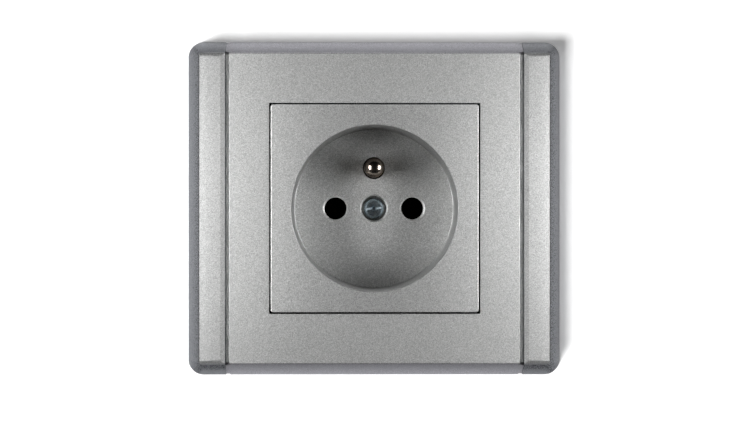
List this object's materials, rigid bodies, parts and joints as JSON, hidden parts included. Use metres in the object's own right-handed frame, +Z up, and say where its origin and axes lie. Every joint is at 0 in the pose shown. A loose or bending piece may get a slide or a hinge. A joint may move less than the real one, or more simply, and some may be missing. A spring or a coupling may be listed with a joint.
{
  "type": "wall socket",
  "caption": "Flush-mounted earthed wall socket with a silver frame, side trims, a round recess and an earth pin.",
  "frame": {"origin": "the socket's axis in the plane of the wall, at the support ring's back face", "axes": "+X to the right and +Z up, seen from the room; +Y into the wall"},
  "size_m": [0.0912, 0.0406, 0.0816],
  "materials": {
    "silver_plastic": "satin metallic paint",
    "base_plastic": "matte",
    "cover_plastic": "matte",
    "zinc_steel": "zinc plated",
    "contact_brass": "plain",
    "nickel": "nickel plated"
  },
  "bodies": {
    "root": {"frame": "silver_plastic", "left_side_trim": "silver_plastic", "right_side_trim": "silver_plastic", "centre_plate": "silver_plastic", "cover_screw": "zinc_steel", "cover_screw_bush": "contact_brass", "support_ring": "zinc_steel", "ring_rivets": "zinc_steel", "socket_base": "base_plastic", "contact_cover": "cover_plastic", "contact_cover_screws": "zinc_steel", "left_contact": "contact_brass", "right_contact": "contact_brass", "left_contact_spring": "zinc_steel", "right_contact_spring": "zinc_steel", "earth_pin": "nickel", "earth_strap": "contact_brass", "left_clamp": "zinc_steel", "right_clamp": "zinc_steel", "earth_clamp": "zinc_steel", "left_terminal_screw": "zinc_steel", "right_terminal_screw": "zinc_steel", "earth_terminal_screw": "zinc_steel"}
  },
  "joints": []
}
